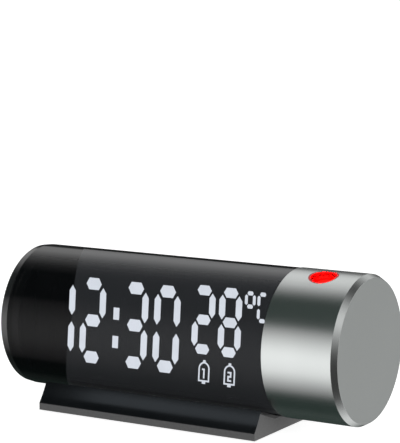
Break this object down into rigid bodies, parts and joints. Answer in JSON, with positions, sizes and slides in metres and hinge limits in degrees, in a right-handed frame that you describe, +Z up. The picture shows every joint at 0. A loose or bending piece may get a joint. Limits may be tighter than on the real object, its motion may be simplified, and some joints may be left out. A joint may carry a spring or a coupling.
{
  "type": "projection alarm clock",
  "caption": "Cylindrical alarm clock with a lit display on a low base and a metal end drum that turns to aim its time projector.",
  "frame": {"origin": "on the table, below the middle of the whole clock", "axes": "+Z up, -Y is the display's side, +X along the cylinder towards the projector drum"},
  "size_m": [0.1676, 0.0644, 0.0706],
  "materials": {
    "smoked_cover": "smoked, clear and glossy",
    "shell_black": "fine matte texture",
    "end_cap_grey": "glossy dark grey",
    "base_black": "satin gloss",
    "feet_rubber": "matte",
    "drum_metal": "satin, turned",
    "disc_metal": "satin grey paint",
    "mask_black": "matte",
    "lit_white": "emissive, lit bluish white",
    "guide_dark": "unlit smoked resin",
    "board_green": "solder mask",
    "parts_black": "matte",
    "steel": "plated",
    "copper": "copper foil",
    "bush_white": "natural acetal",
    "cell_steel": "nickel plated",
    "heat_alu": "bare",
    "lamp_red": "emissive, lit red",
    "lens_glass": "clear",
    "cell_glass": "grey display glass",
    "ring_black": "matte",
    "lead_red": "wire insulation",
    "ribbon_grey": "flat cable",
    "button_grey": "matte",
    "led_yellow": "phosphor",
    "board_white": "white solder mask"
  },
  "bodies": {
    "housing": {"front_cover": "smoked_cover", "rear_shell": "shell_black", "left_end_cap": "end_cap_grey", "right_end_plate": "shell_black", "pivot_bush": "bush_white", "friction_washer": "steel", "display_frame": "mask_black", "lit_segments": "lit_white", "dark_segments": "guide_dark", "lit_icons": "lit_white", "display_board": "board_green", "segment_leds": "led_yellow", "touch_electrode": "copper", "main_board": "board_green", "board_parts": "parts_black", "display_ribbon": "ribbon_grey", "button_board": "board_green", "tact_switches": "parts_black", "usb_output_socket": "steel", "power_inlet": "steel", "battery_tray": "shell_black", "battery_contacts": "steel", "coin_cell": "cell_steel", "speaker": "parts_black", "temperature_sensor": "parts_black", "base_cradle": "base_black", "base_plate": "shell_black", "rubber_feet": "feet_rubber", "cradle_screws": "steel", "plate_screws": "steel", "board_screws": "steel", "end_plate_screws": "steel"},
    "projector_drum": {"drum_sleeve": "drum_metal", "drum_end_disc": "disc_metal", "drum_carrier": "shell_black", "retaining_clip": "steel", "carrier_screws": "steel", "projector_housing": "parts_black", "lamp_heatsink": "heat_alu", "lamp_board": "board_white", "lamp_led": "lamp_red", "condenser_lens": "lens_glass", "lcd_cell": "cell_glass", "lens_bezel": "ring_black", "projector_lead": "lead_red"},
    "focus_ring_body": {"focus_ring": "ring_black"},
    "barrel_body": {"lens_barrel": "ring_black", "relay_lens": "lens_glass", "objective_lens": "lens_glass"},
    "battery_door_body": {"battery_door": "shell_black"},
    "set_button_body": {"set_button": "button_grey"},
    "up_button_body": {"up_button": "button_grey"},
    "down_button_body": {"down_button": "button_grey"},
    "alarm_one_button_body": {"alarm_one_button": "button_grey"},
    "alarm_two_button_body": {"alarm_two_button": "button_grey"},
    "projection_button_body": {"projection_button": "button_grey"}
  },
  "joints": [
    {"name": "drum_turn", "type": "hinge", "parent": "housing", "child": "projector_drum", "pos_m": [0.0493, 0, 0.0384], "axis": [1, 0, 0], "range_deg": [-104, 76]},
    {"name": "focus_turn", "type": "hinge", "parent": "projector_drum", "child": "focus_ring_body", "pos_m": [0.0655, 0, 0.0384], "axis": [0, -0.2419, 0.9703], "range_deg": [-60, 60]},
    {"name": "focus_slide", "type": "slide", "parent": "projector_drum", "child": "barrel_body", "axis": [0, -0.2419, 0.9703], "range_m": [-0.001, 0.001]},
    {"name": "set_press", "type": "slide", "parent": "housing", "child": "set_button_body", "axis": [0, -1, 0], "range_m": [0, 0.0006], "stiffness_N_per_m": 1500, "springref_m": -0.0004},
    {"name": "up_press", "type": "slide", "parent": "housing", "child": "up_button_body", "axis": [0, -1, 0], "range_m": [0, 0.0006], "stiffness_N_per_m": 1500, "springref_m": -0.0004},
    {"name": "down_press", "type": "slide", "parent": "housing", "child": "down_button_body", "axis": [0, -1, 0], "range_m": [0, 0.0006], "stiffness_N_per_m": 1500, "springref_m": -0.0004},
    {"name": "alarm_one_press", "type": "slide", "parent": "housing", "child": "alarm_one_button_body", "axis": [0, -1, 0], "range_m": [0, 0.0006], "stiffness_N_per_m": 1500, "springref_m": -0.0004},
    {"name": "alarm_two_press", "type": "slide", "parent": "housing", "child": "alarm_two_button_body", "axis": [0, -1, 0], "range_m": [0, 0.0006], "stiffness_N_per_m": 1500, "springref_m": -0.0004},
    {"name": "projection_press", "type": "slide", "parent": "housing", "child": "projection_button_body", "axis": [0, -1, 0], "range_m": [0, 0.0006], "stiffness_N_per_m": 1500, "springref_m": -0.0004},
    {"name": "door_lift", "type": "slide", "parent": "housing", "child": "battery_door_body", "axis": [0, 1, 0], "range_m": [0, 0.02]}
  ],
  "couplings": [
    {"joint": "focus_turn", "follows": "focus_slide", "rad_per_m": 1047.2}
  ]
}
